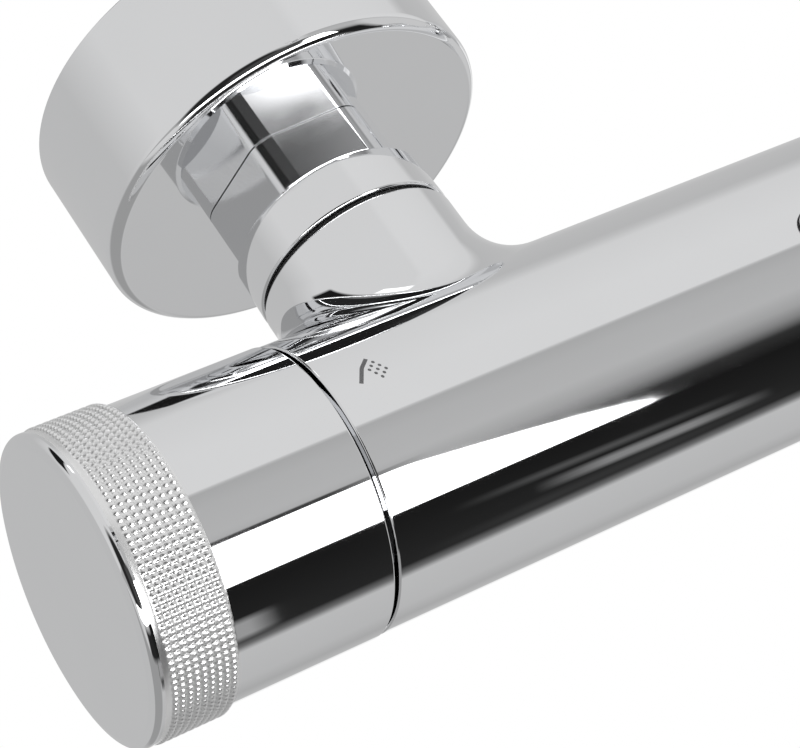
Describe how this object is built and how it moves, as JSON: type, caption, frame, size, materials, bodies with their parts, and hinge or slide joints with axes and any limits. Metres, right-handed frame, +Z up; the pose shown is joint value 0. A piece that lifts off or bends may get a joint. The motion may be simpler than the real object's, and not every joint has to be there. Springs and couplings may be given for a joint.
{
  "type": "rainfall shower column",
  "caption": "Chrome thermostatic bar mixer with knurled handles, a riser pipe, a swivelling overhead arm with a round rain head, and a sliding hand shower holder.",
  "frame": {"origin": "mid-way between the two wall inlets, on the finished wall plane", "axes": "+X to the right for a person facing the wall, +Y into the wall, +Z up the riser"},
  "size_m": [0.2846, 0.6195, 1.1215],
  "materials": {
    "chromed_brass": "mirror-polished chrome plate",
    "chromed_tube": "mirror-polished chrome plate on steel tube",
    "chromed_plastic": "bright chrome plate on moulded plastic",
    "knurled_chrome": "chrome plate over a fine diamond knurl",
    "raw_brass": "turned",
    "steel": "bright",
    "black_rubber": "matt",
    "grey_silicone": "satin",
    "black_plastic": "moulded",
    "grey_plastic": "moulded",
    "symbol_grey": "matt fill in an etched recess"
  },
  "bodies": {
    "column": {"mixer_body": "chromed_brass", "hand_shower_symbol": "symbol_grey", "union_nuts": "chromed_brass", "inlet_filters": "black_rubber", "check_valves": "black_plastic", "hose_outlet": "chromed_brass", "diverter_cartridge": "black_plastic", "diverter_nut": "raw_brass", "thermostat_cartridge": "black_plastic", "thermostat_nut": "raw_brass", "escutcheon_left": "chromed_tube", "escutcheon_right": "chromed_tube", "wall_union_left": "raw_brass", "wall_union_right": "raw_brass", "riser_nut": "chromed_brass", "riser_washer": "black_rubber", "lower_riser": "chromed_tube", "riser_coupling": "chromed_brass", "upper_riser": "chromed_tube", "bracket_body": "chromed_brass", "bracket_plate": "steel", "bracket_screws": "steel", "wall_plugs": "grey_plastic", "bracket_rosette": "chromed_tube", "riser_top_fitting": "chromed_brass", "arm_seals": "black_rubber"},
    "flow_handle": {"diverter_spindle": "raw_brass", "flow_sleeve": "chromed_plastic", "flow_grip_ring": "knurled_chrome", "flow_cap": "chromed_plastic", "flow_screw": "steel"},
    "temperature_handle": {"thermostat_spindle": "raw_brass", "temperature_sleeve": "chromed_plastic", "temperature_grip_ring": "knurled_chrome", "temperature_cap": "chromed_plastic", "temperature_screw": "steel", "override_spring": "steel"},
    "override": {"override_button": "chromed_plastic"},
    "arm": {"arm_socket": "chromed_brass", "arm_tube": "chromed_tube", "flow_regulator": "black_plastic", "ball_stem": "chromed_brass"},
    "ball_ring": {"ball_seat": "black_plastic"},
    "rain_head": {"ball_nut": "chromed_brass", "ball_seal": "black_rubber", "head_shell": "chromed_plastic", "head_plate": "chromed_plastic", "nozzle_mat": "grey_silicone"},
    "slider": {"slider_body": "chromed_plastic", "slider_liner": "black_plastic", "slider_spring": "steel", "holder_pin": "steel"},
    "slider_release": {"slider_button": "chromed_plastic"},
    "holder": {"holder": "chromed_plastic"},
    "handset": {"handset_body": "chromed_plastic", "handset_face": "chromed_plastic", "handset_nozzles": "grey_silicone", "handset_inlet": "chromed_brass"},
    "spray_select": {"spray_button": "chromed_plastic"}
  },
  "joints": [
    {"name": "flow_turn", "type": "hinge", "parent": "column", "child": "flow_handle", "pos_m": [-0.12, -0.0765, 0], "axis": [1, 0, 0], "range_deg": [-90, 90]},
    {"name": "temperature_turn", "type": "hinge", "parent": "column", "child": "temperature_handle", "pos_m": [0.12, -0.0765, 0], "axis": [1, 0, 0], "range_deg": [-150, 60]},
    {"name": "override_press", "type": "slide", "parent": "temperature_handle", "child": "override", "axis": [0, 0, -1], "range_m": [0, 0.001], "stiffness_N_per_m": 800, "springref_m": -0.0015, "deforming": ["override_spring"]},
    {"name": "arm_swivel", "type": "hinge", "parent": "column", "child": "arm", "pos_m": [0, -0.0765, 0.915], "axis": [0, 0, 1], "range_deg": [-60, 60]},
    {"name": "head_tilt_front", "type": "hinge", "parent": "arm", "child": "ball_ring", "pos_m": [0, -0.4565, 0.984], "axis": [1, 0, 0], "range_deg": [-10, 10]},
    {"name": "head_tilt_side", "type": "hinge", "parent": "ball_ring", "child": "rain_head", "pos_m": [0, -0.4565, 0.984], "axis": [0, 1, 0], "range_deg": [-10, 10]},
    {"name": "slider_travel", "type": "slide", "parent": "column", "child": "slider", "axis": [0, 0, 1], "range_m": [-0.28, 0.07]},
    {"name": "slider_button_press", "type": "slide", "parent": "slider", "child": "slider_release", "axis": [-1, 0, 0], "range_m": [0, 0.0018], "stiffness_N_per_m": 800, "springref_m": -0.0015, "deforming": ["slider_spring"]},
    {"name": "holder_tilt", "type": "hinge", "parent": "slider", "child": "holder", "pos_m": [0, -0.1065, 0.5], "axis": [1, 0, 0], "range_deg": [-25, 25]},
    {"name": "handset_lift", "type": "slide", "parent": "holder", "child": "handset", "axis": [0, -0.342, 0.9397], "range_m": [0, 0.08]},
    {"name": "spray_press", "type": "slide", "parent": "handset", "child": "spray_select", "axis": [0, 0.9397, 0.342], "range_m": [0, 0.0011], "stiffness_N_per_m": 800, "springref_m": -0.0015}
  ]
}
